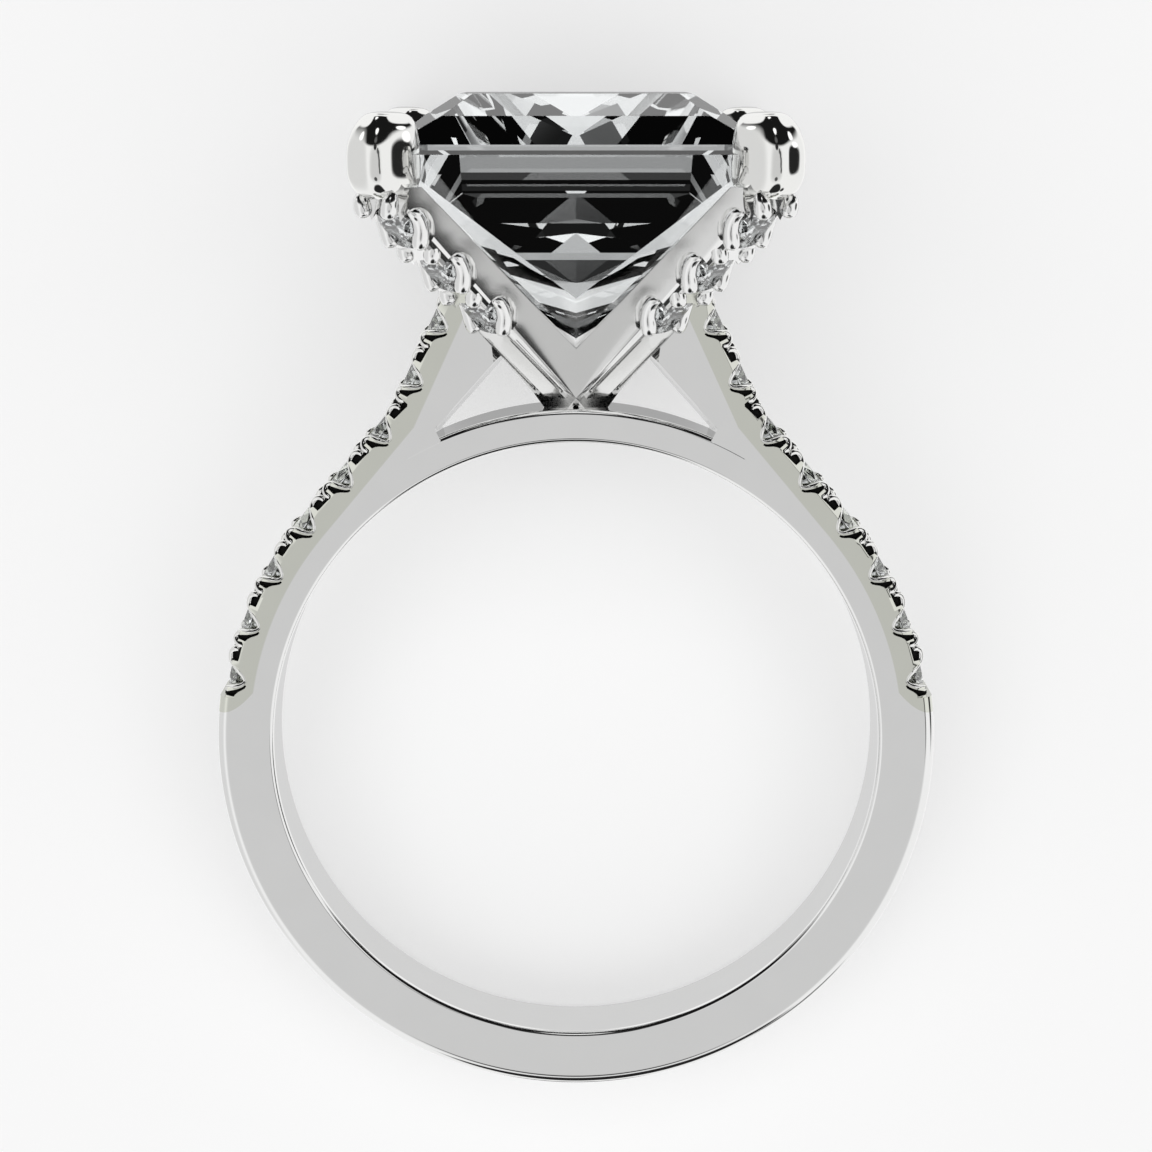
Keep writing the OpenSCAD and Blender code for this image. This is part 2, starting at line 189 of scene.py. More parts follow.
def combine(piece, other, operation, solver="EXACT"):
    """Joins, or cuts away, another solid by a boolean modifier."""
    alone(piece)
    boolean = piece.modifiers.new("combine", "BOOLEAN")
    boolean.operation = operation
    boolean.solver = solver
    boolean.material_mode = "TRANSFER"
    boolean.object = other
    bpy.ops.object.modifier_apply(modifier=boolean.name)
    bpy.ops.object.mode_set(mode="EDIT")
    bpy.ops.mesh.select_mode(type="VERT")
    bpy.ops.mesh.select_all(action="SELECT")
    bpy.ops.mesh.remove_doubles(threshold=MERGE_SOLIDS)
    bpy.ops.object.mode_set(mode="OBJECT")
    bpy.data.objects.remove(other, do_unlink=True)


hoop = spun("ring_band", band_section(ROUGH_BORE, HOOP_R, HOOP_ROUND),
            180 - HOOP_END, 180 + 2 * HOOP_END, HOOP_STEPS)
hoop.data.materials.append(gold)

# Bridge: the thin part of the same band under the stone, of the same white gold. It is cast
# in one with the hoop, and its edges are softly rounded by polishing.
BRIDGE_R, BRIDGE_ROUND = 9.15, 0.15
BRIDGE_FROM, BRIDGE_SWEEP, BRIDGE_STEPS = 36, 108, 120
bridge = spun("bridge", band_section(ROUGH_BORE, BRIDGE_R, BRIDGE_ROUND),
              BRIDGE_FROM, BRIDGE_SWEEP, BRIDGE_STEPS)
bridge.data.materials.append(gold)

# Shoulders: flat cheeks of white gold, cast in one with the hoop, that rise to the head. A
# window is cut under each small stone, and the cheek's edge beside it is cut back, so that the
# prongs stand in front.
BED = 9.68
SHOULDER_STONES = 8
SHOULDER_PITCH = 1.62
FIRST_STONE = BED * math.radians(10.7)
BED_START, LEAVE = 5, 40.0
LEVEL, NEAR, FACING = 1e-4, 1e-3, 0.9
LOWER_RUN, TURN, TURN_R, UPPER_RUN = 3.35, 15.3, 3.0, 3.2
leave_s = BED * math.radians(LEAVE)
curve_s = leave_s + LOWER_RUN
curve_len = TURN_R * math.radians(TURN)
top_s = curve_s + curve_len + UPPER_RUN


def bed_at(s):
    """Point on the right shoulder's outer side at the length s, and the angle it faces."""
    a = math.radians(LEAVE)
    if s < leave_s:
        a = s / BED
        return Vector((BED * math.cos(a), BED * math.sin(a))), a
    start = Vector((BED * math.cos(a), BED * math.sin(a)))
    if s < curve_s:
        return start + (s - leave_s) * Vector((-math.sin(a), math.cos(a))), a
    start += LOWER_RUN * Vector((-math.sin(a), math.cos(a)))
    b = a - min(s - curve_s, curve_len) / TURN_R
    point = start + TURN_R * Vector((math.cos(a) - math.cos(b), math.sin(a) - math.sin(b)))
    if s > curve_s + curve_len:
        point += (s - curve_s - curve_len) * Vector((-math.sin(b), math.cos(b)))
    return point, b


def beside(point, angle, t, n):
    """Place at t along the row of stones and n outwards from it."""
    return (point[0] - t * math.sin(angle) + n * math.cos(angle),
            point[1] + t * math.cos(angle) + n * math.sin(angle))


WINDOW = [(-0.30, 0.0), (-0.24, -0.06), (-0.19, -0.17), (-0.14, -0.28), (-0.09, -0.37),
          (-0.04, -0.43), (0.02, -0.46), (0.08, -0.445), (0.14, -0.40), (0.20, -0.33),
          (0.26, -0.245), (0.32, -0.155), (0.38, -0.07), (0.44, 0.0)]
CRESCENT = [(-0.46, -0.28), (-0.38, -0.32), (-0.30, -0.39), (-0.24, -0.47), (-0.17, -0.545),
            (-0.10, -0.57), (-0.08, -0.53), (-0.15, -0.47), (-0.22, -0.36), (-0.28, -0.24),
            (-0.33, -0.12), (-0.37, -0.03), (-0.37, 0.3), (-0.46, 0.3), (-0.46, -0.14)]
GAP = [(0.53, -0.235), (0.62, -0.25), (0.75, -0.26), (0.88, -0.27), (1.02, -0.29), (1.08, -0.25),
       (1.08, 0.4), (0.53, 0.4)]
stone_s = [FIRST_STONE + k * SHOULDER_PITCH for k in range(SHOULDER_STONES)]

# Beside the stones a warmer, darker tint is painted into the shoulders' colour: a painted
# reflection tone. The zone follows the outer side, and begins in a curve at the foot of each
# row.
ZONE_W, ZONE_START, ZONE_CURVE = 0.78, 0.85, 1.8
ZONE_SIDES = ((LEAVE, BED), (LEAVE - TURN, 8.35))
PAINTED_REFLECTION_TINT = (0.84, 0.85, 0.78)
ZONE_BLUR = 0.02
nodes, links = gold.node_tree.nodes, gold.node_tree.links


def step(operation, *values):
    """One arithmetic node; each value is a number or another node's output."""
    node = nodes.new("ShaderNodeMath")
    node.operation = operation
    for socket, value in zip(node.inputs, values):
        if isinstance(value, (int, float)):
            socket.default_value = value
        else:
            links.new(value, socket)
    return node.outputs[0]


upright = nodes.new("ShaderNodeMapping")
upright.vector_type = "TEXTURE"
upright.inputs["Location"].default_value = hole["pos_m"]
upright.inputs["Rotation"].default_value = (lean, 0.0, 0.0)
upright.inputs["Scale"].default_value = (MM, MM, MM)
links.new(nodes["Texture Coordinate"].outputs["Object"], upright.inputs["Vector"])
axes = nodes.new("ShaderNodeSeparateXYZ")
links.new(upright.outputs["Vector"], axes.inputs["Vector"])
across, high = step("ABSOLUTE", axes.outputs["X"]), axes.outputs["Y"]
squares = step("ADD", step("MULTIPLY", across, across), step("MULTIPLY", high, high))
past_round = step("SUBTRACT", step("SQRT", squares), BED)
past_sides = []
for turn, off in ZONE_SIDES:
    turn = math.radians(turn)
    reach = step("ADD", step("MULTIPLY", across, math.cos(turn)),
                 step("MULTIPLY", high, math.sin(turn)))
    past_sides.append(step("SUBTRACT", reach, off))
leave = math.radians(LEAVE)
above = step("GREATER_THAN", step("MULTIPLY", high, math.cos(leave)),
             step("MULTIPLY", across, math.sin(leave)))
past_straight = step("MULTIPLY", step("MINIMUM", *past_sides), above)
past_round = step("MULTIPLY", past_round, step("SUBTRACT", 1.0, above))
climb = step("MULTIPLY", step("SUBTRACT", high, ZONE_START), ZONE_CURVE)
start = step("POWER", step("MAXIMUM", climb, 0.0), 0.5)
width = step("MULTIPLY", step("MINIMUM", start, 1.0), ZONE_W)
border = step("ADD", step("ADD", past_straight, past_round), width)
mask = nodes.new("ShaderNodeMapRange")
mask.inputs["From Min"].default_value = -ZONE_BLUR
mask.inputs["From Max"].default_value = ZONE_BLUR
links.new(border, mask.inputs["Value"])
zone = step("MULTIPLY", mask.outputs["Result"], step("GREATER_THAN", high, ZONE_START))
# The painted reflection tint, multiplied into the metal's colour inside the zone.
painted_tint = nodes.new("ShaderNodeMix")
painted_tint.data_type = "RGBA"
painted_tint.blend_type = "MULTIPLY"
painted_tint.inputs["B"].default_value = (*PAINTED_REFLECTION_TINT, 1)
links.new(zone, painted_tint.inputs["Factor"])
links.new(nodes["Mix"].outputs["Result"], painted_tint.inputs["A"])
links.new(painted_tint.outputs["Result"], nodes["Principled BSDF"].inputs["Base Color"])


def row(s, shape):
    """A shape of (t, n) points, set beside the stone at the length s."""
    point, angle = bed_at(s)
    return [beside(point, angle, t, n) for t, n in shape]


def bored(radius, start, end):
    """Points of an arc round the finger hole, from one angle to another, in degrees."""
    stride = 2 if end > start else -2
    turns = [math.radians(a) for a in range(start, end, stride)] + [math.radians(end)]
    return [(radius * math.cos(a), radius * math.sin(a)) for a in turns]


def pick(piece, wanted):
    """Selects the edges whose two ends are wanted, and opens the piece for editing."""
    alone(piece)
    bpy.ops.object.mode_set(mode="EDIT")
    bpy.ops.mesh.select_mode(type="EDGE")
    bpy.ops.mesh.select_all(action="DESELECT")
    bpy.ops.object.mode_set(mode="OBJECT")
    places = piece.data.vertices
    for line in piece.data.edges:
        one, two = (places[k].co for k in line.vertices)
        line.select = wanted(one, two)
    bpy.ops.object.mode_set(mode="EDIT")


KNEE, FOOT, TOP = (3.1, 8.6), (1.9, 10.3), (1.95, 11.5)
INNER_END, BED_END, ROOT_BED_END = 44, 39, 24
ROOT_R, ROOT_FROM, ROOT_END = 9.3, 26, 45
BED_BEVEL = 0.31
# Below this place the stones' side is round, and corners on it are found by their distance.
ROUND_X, ROUND_Y, ROUND_NEAR = 7.0, 6.2, 0.02
touch_angle = math.atan2(KNEE[1], KNEE[0]) - math.acos(BORE / math.hypot(*KNEE))
touch = (BORE * math.cos(touch_angle), BORE * math.sin(touch_angle))
stops = [leave_s, curve_s] + [curve_s + curve_len * k / 6 for k in range(1, 7)] + [top_s]
outer_side = [tuple(bed_at(s)[0]) for s in stops]
inner_side = bored(ROUGH_BORE, INNER_END, BED_START)


def on_bed(point):
    """Whether a corner lies on the outer side, where the stones sit."""
    if point.x > ROUND_X and point.y < ROUND_Y:
        return abs(math.hypot(point.x, point.y) - BED) < ROUND_NEAR
    return any((Vector(point[:2]) - Vector(p)).length < NEAR for p in outer_side)


def cheek_plate(name, outline):
    """A flat plate of the band's width, with the long edges of its outer side bevelled."""
    piece = plate(name, outline, -HALF_W, HALF_W)
    piece.data.materials.append(gold)
    pick(piece, lambda one, two: on_bed(one) and on_bed(two) and abs(one.z - two.z) < LEVEL)
    bpy.ops.mesh.bevel(offset=BED_BEVEL, segments=2, profile=0.6)
    bpy.ops.object.mode_set(mode="OBJECT")
    return piece


cheek = cheek_plate("cheek", inner_side + bored(BED, BED_START, BED_END) + outer_side
                    + [TOP, FOOT, KNEE, touch])
root = cheek_plate("cheek_root", inner_side + bored(BED, BED_START, ROOT_BED_END)
                   + bored(ROOT_R, ROOT_FROM, ROOT_END))

# The cheek's inner edge and its upper end are cut back at a slant from both faces.
UNDERSIDE_CUT, TOP_CUT = (2.14, 9.96, HALF_W), (2.33, 11.5, HALF_W)
FOOT_CUT = (*FOOT, 0.85)
inner_cut = [(*touch, HALF_W), UNDERSIDE_CUT, FOOT_CUT]
end_cut = [UNDERSIDE_CUT, TOP_CUT, FOOT_CUT]
KEPT_SIDE = Vector((9, 9, 0))
alone(cheek)
bpy.ops.object.mode_set(mode="EDIT")
bpy.ops.mesh.select_mode(type="VERT")
for side in (-1, 1):
    for corners in (inner_cut, end_cut):
        a, b, c = (Vector((p[0], p[1], side * p[2])) for p in corners)
        normal = (b - a).cross(c - a).normalized()
        if normal.dot(KEPT_SIDE - a) > 0:
            normal = -normal
        bpy.ops.mesh.select_all(action="SELECT")
        bpy.ops.mesh.bisect(plane_co=a, plane_no=normal, use_fill=True, clear_outer=True)
bpy.ops.mesh.select_all(action="SELECT")
bpy.ops.mesh.normals_make_consistent(inside=False)
bpy.ops.object.mode_set(mode="OBJECT")
combine(cheek, root, "UNION", "MANIFOLD")

# A small web, cast in one with both, fills the corner between the shoulder and the bridge.
WEB = [(4.60, 7.75), (4.52, 7.90), (3.83, 8.70), (3.62, 8.30), (4.20, 7.80)]
WEB_HALF = 1.165
web = plate("web", WEB, -WEB_HALF, WEB_HALF)
web.data.materials.append(gold)
combine(cheek, web, "UNION", "MANIFOLD")

# Windows under the stones, each flared where it comes out. The narrow cuts beside them, and
# between two stones, are given a near-black colour: painted shade in these recesses.
OPEN_WINDOW = [(-0.34, 0.5)] + WINDOW + [(0.48, 0.5)]
WINDOW_HALF, WINDOW_REACH, WINDOW_FLARE = 0.98, 1.3, 1.42
WINDOW_MIDDLE = (0.06, -0.10)
CUT_FROM, CUT_TO = 0.85, 1.5
# Near-black colour of the narrow cuts, with a little noise: painted shade.
CUT_SHADE_DARK, CUT_SHADE_LIGHT = (0.004, 0.004, 0.004), (0.02, 0.02, 0.019)
cut_shade = mottled("painted_shade_cuts", scale=3000.0, detail=2.0, shadow=CUT_SHADE_DARK, light=CUT_SHADE_LIGHT)[0]
shader = cut_shade.node_tree.nodes["Principled BSDF"]
shader.inputs["Roughness"].default_value = 0.6
shader.inputs["Specular IOR Level"].default_value = 0.1


def join_all(name, pieces):
    """Makes one object of several."""
    bpy.ops.object.select_all(action="DESELECT")
    for piece in pieces:
        piece.select_set(True)
    bpy.context.view_layer.objects.active = pieces[0]
    bpy.ops.object.join()
    pieces[0].name = name
    return pieces[0]


def flared(piece, half, reach, grow, middle):
    """Widens both ends of a cutter that lies across a row, so that it leaves a bright rim."""
    for side in (-1, 1):
        alone(piece)
        bpy.ops.object.mode_set(mode="EDIT")
        bpy.ops.mesh.select_mode(type="FACE")
        bpy.ops.mesh.select_all(action="DESELECT")
        bpy.ops.object.mode_set(mode="OBJECT")
        for face in piece.data.polygons:
            at_end = abs(face.center.z - side * half) < NEAR
            face.select = at_end and abs(face.normal.z) > FACING
        bpy.ops.object.mode_set(mode="EDIT")
        out = (0, 0, side * (reach - half))
        bpy.ops.mesh.extrude_region_move(TRANSFORM_OT_translate={"value": out})
        bpy.ops.transform.resize(value=(grow, grow, 1),
                                 center_override=(middle[0], middle[1], side * reach))
        bpy.ops.mesh.select_mode(type="VERT")
        bpy.ops.object.mode_set(mode="OBJECT")


windows, crescents = [], []
for k, s in enumerate(stone_s):
    window = plate("window", row(s, OPEN_WINDOW), -WINDOW_HALF, WINDOW_HALF)
    flared(window, WINDOW_HALF, WINDOW_REACH, WINDOW_FLARE, beside(*bed_at(s), *WINDOW_MIDDLE))
    windows.append(window)
    for low, high in ((-CUT_TO, -CUT_FROM), (CUT_FROM, CUT_TO)):
        crescents.append(plate("crescent", row(s, CRESCENT), low, high))
        if k < SHOULDER_STONES - 1:
            crescents.append(plate("gap", row(s, GAP), low, high))
windows = join_all("windows", windows)
windows.data.materials.append(gold)
combine(cheek, windows, "DIFFERENCE")
crescents = join_all("crescents", crescents)
crescents.data.materials.append(cut_shade)
combine(cheek, crescents, "DIFFERENCE")

# Round seats of the small stones, drilled from the outer side.
SEAT_R, SEAT_DEPTH = 0.73, 0.30
DRILL_POINT, DRILL_CONE, DRILL_SHANK, DRILL_SIDES = 0.2, 0.5, 1.0, 40


def drill(point, angle, seat_r, depth):
    """A drill for one small stone: a cone up to its girdle, and a cylinder above it."""
    bpy.ops.object.select_all(action="DESELECT")
    bpy.ops.mesh.primitive_cone_add(vertices=DRILL_SIDES, radius1=DRILL_POINT, radius2=seat_r,
                                    depth=DRILL_CONE)
    tool = bpy.context.object
    bpy.ops.object.mode_set(mode="EDIT")
    bpy.ops.mesh.select_mode(type="FACE")
    bpy.ops.mesh.select_all(action="DESELECT")
    bpy.ops.object.mode_set(mode="OBJECT")
    for face in tool.data.polygons:
        face.select = face.normal.z > FACING
    bpy.ops.object.mode_set(mode="EDIT")
    bpy.ops.mesh.extrude_region_move(TRANSFORM_OT_translate={"value": (0, 0, DRILL_SHANK)})
    bpy.ops.mesh.select_mode(type="VERT")
    bpy.ops.object.mode_set(mode="OBJECT")
    turn = Matrix.Rotation(angle, 4, "Z") @ Matrix.Rotation(math.radians(90), 4, "Y")
    middle = beside(point, angle, 0, -depth - DRILL_CONE / 2)
    tool.matrix_world = Matrix.Translation((*middle, 0)) @ turn
    bpy.ops.object.transform_apply()
    return tool


seats = join_all("seats", [drill(*bed_at(s), SEAT_R, SEAT_DEPTH) for s in stone_s])
seats.data.materials.append(gold)
combine(cheek, seats, "DIFFERENCE")


def twin(piece):
    """A copy of a piece, with a mesh of its own."""
    copy = piece.copy()
    copy.data = piece.data.copy()
    bpy.context.scene.collection.objects.link(copy)
    return copy


# The left shoulder mirrors the right one.
other = twin(cheek)
alone(other)
bpy.ops.object.mode_set(mode="EDIT")
bpy.ops.mesh.select_all(action="SELECT")
bpy.ops.transform.mirror(constraint_axis=(True, False, False), center_override=(0, 0, 0))
bpy.ops.mesh.select_all(action="SELECT")
bpy.ops.mesh.normals_make_consistent(inside=False)
bpy.ops.object.mode_set(mode="OBJECT")

# The finger hole is reamed through all of them, and its edges are rounded over.
for solid in (bridge, cheek, other):
    combine(hoop, solid, "UNION", "MANIFOLD")
REAMER_IN, REAMER_HALF, REAMER_START, REAMER_STEPS = 7.0, 1.6, 0.4, 360
wide = BORE + BORE_ROUND
hole_end = quarter((wide, HALF_W - BORE_ROUND), BORE_ROUND, 180, steps=6, sweep=-90)
section = [(REAMER_IN, -REAMER_HALF), (wide, -REAMER_HALF)]
section += [(r, -z) for r, z in reversed(hole_end)] + hole_end
section += [(wide, REAMER_HALF), (REAMER_IN, REAMER_HALF)]
reamer = spun("reamer", section, REAMER_START, 360, REAMER_STEPS)
reamer.data.materials.append(gold)
combine(hoop, reamer, "DIFFERENCE", "MANIFOLD")

# Two faces that meet at less than the piece's angle are shaded as one rounded surface.
BAND_ANGLE, ARM_ANGLE, PRONG_ANGLE, CLAW_ANGLE = 24, 30, 50, 60


def finish(piece, angle, soft=False):
    """Shades a finished solid, flat faces flat unless it is soft, and lays it down."""
    alone(piece)
    bpy.ops.object.shade_smooth_by_angle(angle=math.radians(angle))
    if not soft:
        flat = piece.modifiers.new("flat_faces", "WEIGHTED_NORMAL")
        flat.keep_sharp = True
        flat.weight = 100
        bpy.ops.object.modifier_apply(modifier=flat.name)
    piece.matrix_world = laid
    bpy.ops.object.transform_apply()
    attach(piece, "root")


finish(hoop, BAND_ANGLE)
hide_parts("ring_mount")

# Prongs of the shoulders: beside each window a thin rim of metal rises from the cheek, and
# curls in over the gap between two stones. Another comes up from under the next stone.
UPPER_PRONG = [(0.03, -0.515, 0.045), (0.10, -0.485, 0.055), (0.19, -0.40, 0.062),
               (0.28, -0.29, 0.066), (0.37, -0.17, 0.066), (0.45, -0.07, 0.066),
               (0.55, -0.02, 0.07), (0.66, -0.01, 0.075), (0.76, -0.03, 0.08),
               (0.83, -0.09, 0.08), (0.84, -0.16, 0.075), (0.82, -0.21, 0.04)]
LOWER_PRONG = [(0.03, -0.52, 0.03), (-0.05, -0.51, 0.05), (-0.13, -0.43, 0.058),
               (-0.19, -0.31, 0.062), (-0.25, -0.18, 0.066), (-0.31, -0.06, 0.068),
               (-0.39, -0.01, 0.07), (-0.48, -0.0, 0.075), (-0.56, -0.04, 0.08),
               (-0.61, -0.12, 0.085), (-0.62, -0.20, 0.09), (-0.60, -0.27, 0.05)]
PRONG_Z, PRONG_SCALE = 1.105, 1.2
# Above this height a prong leans in over its stone.
LEAN_FROM, LEAN_IN = -0.3, 0.8
# No stone stands below the first one, so its lower prong is only as long as these points.
FOOT_POINTS = 6


def wire(name, points):
    """A round wire along points of (x, y, z, radius), with closed ends."""
    bpy.ops.object.select_all(action="DESELECT")
    bpy.ops.curve.primitive_nurbs_path_add()
    piece = bpy.context.object
    piece.name = name
    line = piece.data.splines[0]
    line.points.add(len(points) - len(line.points))
    for knot, (x, y, z, radius) in zip(line.points, points):
        knot.co = (x, y, z, 1)
        knot.radius = radius
    line.order_u = 3
    line.use_endpoint_u = True
    line.resolution_u = 3
    piece.data.bevel_depth = 1.0
    piece.data.bevel_resolution = 3
    piece.data.use_fill_caps = True
    bpy.ops.object.convert(target="MESH")
    bpy.ops.object.mode_set(mode="EDIT")
    bpy.ops.mesh.select_all(action="SELECT")
    bpy.ops.mesh.remove_doubles(threshold=MERGE_POINTS)
    bpy.ops.mesh.normals_make_consistent(inside=False)
    bpy.ops.object.mode_set(mode="OBJECT")
    return bpy.context.object


for side_name, across in (("right", 1), ("left", -1)):
    curls = []
    for s in stone_s:
        point, angle = bed_at(s)
        lower = LOWER_PRONG if s > FIRST_STONE else LOWER_PRONG[:FOOT_POINTS]
        for z in (-PRONG_Z, PRONG_Z):
            for shape in (UPPER_PRONG, lower):
                path = []
                for t, n, radius in shape:
                    x, y = beside(point, angle, t, n)
                    inset = math.copysign(max(0.0, n - LEAN_FROM) * LEAN_IN, z)
                    path.append((across * x, y, z - inset, PRONG_SCALE * radius))
                curls.append(wire("prong", path))
    curls = join_all(side_name + "_shoulder_prongs", curls)
    curls.data.materials.append(polish)
    finish(curls, PRONG_ANGLE, soft=True)

# Claw arms: four flat bars of white gold that fan out from the bridge to the stone's corners,
# each with three small stones in its outer side. They are soldered to the bridge.
HALF_ARM = 0.8
ARM_FOOT, ARM_SINK = Vector((0.35, 9.05)), 8.8
ARM_RISE, ARM_RUN = math.radians(39.3), 8.3
ARM_FIRST, ARM_PITCH = 4.19, 1.86
ARM_INNER_Z, ARM_INNER_RISE, ARM_INNER_U = 10.2, math.radians(38.9), 6.2
ARM_END = (6.7, 14.95)
ARM_OUT = ARM_RISE - math.pi / 2
OUTER_BEVEL, INNER_BEVEL, BEVEL_REACH = 0.36, 0.07, 6.65


def arm_at(s):
    """Point on a claw arm's outer side at the length s, in the arm's own plane."""
    return ARM_FOOT + s * Vector((math.cos(ARM_RISE), math.sin(ARM_RISE)))


arm_s = [ARM_FIRST + k * ARM_PITCH for k in range(3)]
arm_top = arm_at(ARM_RUN)
top_in = (ARM_INNER_U, ARM_INNER_Z + ARM_INNER_U * math.tan(ARM_INNER_RISE))
arm_outline = [(0.0, ARM_SINK), (0.35, ARM_SINK), tuple(ARM_FOOT), tuple(arm_top), ARM_END,
               (ARM_END[0], top_in[1]), top_in, (0.0, ARM_INNER_Z)]
arm = plate("claw_arm", arm_outline, -HALF_ARM, HALF_ARM)
arm.data.materials.append(satin)


def on_line(point, start, end):
    """Whether a point lies on the line from start to end, seen from the side."""
    along = Vector(end) - Vector(start)
    off = Vector(point[:2]) - Vector(start)
    return abs(along.x * off.y - along.y * off.x) < NEAR * along.length


for start, end, size, parts in ((ARM_FOOT, arm_top, OUTER_BEVEL, 4),
                                ((0.0, ARM_INNER_Z), top_in, INNER_BEVEL, 2)):
    pick(arm, lambda one, two: on_line(one, start, end) and on_line(two, start, end)
         and abs(one.z - two.z) < LEVEL and one.x + two.x < 2 * BEVEL_REACH)
    bpy.ops.mesh.bevel(offset=size, segments=parts, profile=0.5)
    bpy.ops.object.mode_set(mode="OBJECT")

# Under each small stone a round scallop is cut from side to side, flared where it comes out.
# Two grooves run along the lower part of the outer side, which carries no stones.
SCALLOP_R, SCALLOP_HALF, SCALLOP_REACH, SCALLOP_FLARE, SCALLOP_N = 0.42, 0.55, 0.9, 1.5, -0.10
SCALLOP_SIDES, GROOVE_SIDES = 48, 24
ARM_SEAT_R, ARM_SEAT_DEPTH = 0.68, 0.27
GROOVE_R, GROOVE_LENGTH, GROOVE_S, GROOVE_N, GROOVE_Z = 0.13, 3.0, 1.75, -0.06, 0.52
tools = []
for s in arm_s:
    centre = beside(arm_at(s), ARM_OUT, 0, SCALLOP_N)
    bpy.ops.object.select_all(action="DESELECT")
    bpy.ops.mesh.primitive_cylinder_add(vertices=SCALLOP_SIDES, radius=SCALLOP_R,
                                        depth=2 * SCALLOP_HALF, location=(*centre, 0))
    bpy.ops.object.transform_apply()
    scallop = bpy.context.object
    flared(scallop, SCALLOP_HALF, SCALLOP_REACH, SCALLOP_FLARE, centre)
    tools += [scallop, drill(arm_at(s), ARM_OUT, ARM_SEAT_R, ARM_SEAT_DEPTH)]
for z in (-GROOVE_Z, GROOVE_Z):
    bpy.ops.object.select_all(action="DESELECT")
    bpy.ops.mesh.primitive_cylinder_add(vertices=GROOVE_SIDES, radius=GROOVE_R,
                                        depth=GROOVE_LENGTH)
    groove = bpy.context.object
    middle = beside(arm_at(GROOVE_S), ARM_OUT, 0, GROOVE_N)
    groove.matrix_world = (Matrix.Translation((*middle, z)) @ Matrix.Rotation(ARM_RISE, 4, "Z")
                           @ Matrix.Rotation(math.radians(90), 4, "Y"))
    bpy.ops.object.transform_apply()
    tools.append(groove)
for tool in tools:
    tool.data.materials.append(satin)
    combine(arm, tool, "DIFFERENCE", "MANIFOLD")

# Prongs of the arms: on both sides of each stone a rounded one stands above it, and a longer
# one curls along the scallop's edge and ends on the stone's lower side.
STANDING = [(1.05, -0.42, 0.54, 0.14), (1.00, -0.24, 0.55, 0.22), (0.88, -0.08, 0.51, 0.24),
            (0.77, 0.02, 0.46, 0.22), (0.71, 0.06, 0.43, 0.17), (0.68, 0.08, 0.42, 0.06)]
CURLED = [(0.44, -0.30, 0.66, 0.06), (0.38, -0.37, 0.68, 0.16), (0.15, -0.43, 0.70, 0.20),
          (-0.17, -0.27, 0.68, 0.21), (-0.36, -0.09, 0.60, 0.23), (-0.48, 0.01, 0.54, 0.22),
          (-0.55, 0.05, 0.51, 0.17), (-0.58, 0.07, 0.50, 0.06)]
beads = []
for s in arm_s:
    for side in (-1, 1):
        for shape in (STANDING, CURLED):
            path = [(*beside(arm_at(s), ARM_OUT, t, n), side * z, r) for t, n, z, r in shape]
            beads.append(wire("prong", path))
fittings = join_all("claw_arm_prongs", beads)
fittings.data.materials.append(satin)

# Claws: a block with chamfered corners on the end of each arm, filed to a soft, narrow top
# that closes over the stone's corner. Each level is a height, the block's reach from its inner
# to its outer end, its half width, and how much is cut off its outer corners.
CLAW_LEVELS = [(14.86, 6.1, 7.12, 0.38, 0.2), (15.06, 5.95, 7.55, 0.62, 0.3),
               (15.45, 5.9, 7.76, 0.73, 0.34), (16.25, 5.9, 7.76, 0.73, 0.34),
               (16.73, 5.95, 7.55, 0.62, 0.3), (17.0, 6.1, 7.3, 0.42, 0.2),
               (17.07, 6.4, 7.1, 0.16, 0.08)]
CLAW_CREASE, CLAW_SMOOTHING = 0.24, 3


def slab(u0, u1, half, corner):
    """Outline of a claw from above: (u, t) points, with its outer corners cut off."""
    return [(u0, -half), (u1 - corner, -half), (u1, corner - half), (u1, half - corner),
            (u1 - corner, half), (u0, half)]


rings = [[(u, v, t) for u, t in slab(*sizes)] for v, *sizes in CLAW_LEVELS]
claw = trace("claw", rings[0])
bpy.ops.object.mode_set(mode="EDIT")
for below, ring in zip(rings, rings[1:]):
    bpy.ops.mesh.select_all(action="DESELECT")
    bpy.ops.object.mode_set(mode="OBJECT")
    for face in claw.data.polygons:
        if face.center.y > below[0][1] - LEVEL and abs(face.normal.y) > FACING:
            face.select = True
    bpy.ops.object.mode_set(mode="EDIT")
    bpy.ops.mesh.extrude_region_move(TRANSFORM_OT_translate={"value": (0, 0, 0)})
    bpy.ops.object.mode_set(mode="OBJECT")
    for vertex in claw.data.vertices:
        if vertex.select:
            nearest = min(range(6), key=lambda k: (vertex.co - Vector(below[k])).length)
            vertex.co = ring[nearest]
    bpy.ops.object.mode_set(mode="EDIT")
bpy.ops.mesh.select_all(action="SELECT")
bpy.ops.mesh.normals_make_consistent(inside=False)
bpy.ops.transform.edge_crease(value=CLAW_CREASE)
bpy.ops.object.mode_set(mode="OBJECT")
smooth = claw.modifiers.new("smooth", "SUBSURF")
smooth.levels = smooth.render_levels = CLAW_SMOOTHING
bpy.ops.object.modifier_apply(modifier=smooth.name)
claw.data.materials.append(polish)

# All four arms are copies of the first. Each claw is notched for the stone's corner, by a copy
# of the stone that is a hair larger.
NOTCH_GROWTH, NOTCH_MIDDLE = 1.004, (0, 15.5, 0)
raised = laid.inverted()
notch = twin(frame["nodes"]["square_stone"])
alone(notch)
notch.matrix_world = raised @ notch.matrix_world
bpy.ops.object.transform_apply()
bpy.ops.object.mode_set(mode="EDIT")
bpy.ops.mesh.select_all(action="SELECT")
bpy.ops.mesh.remove_doubles(threshold=LEVEL)
bpy.ops.transform.resize(value=(NOTCH_GROWTH,) * 3, center_override=NOTCH_MIDDLE)
bpy.ops.object.mode_set(mode="OBJECT")

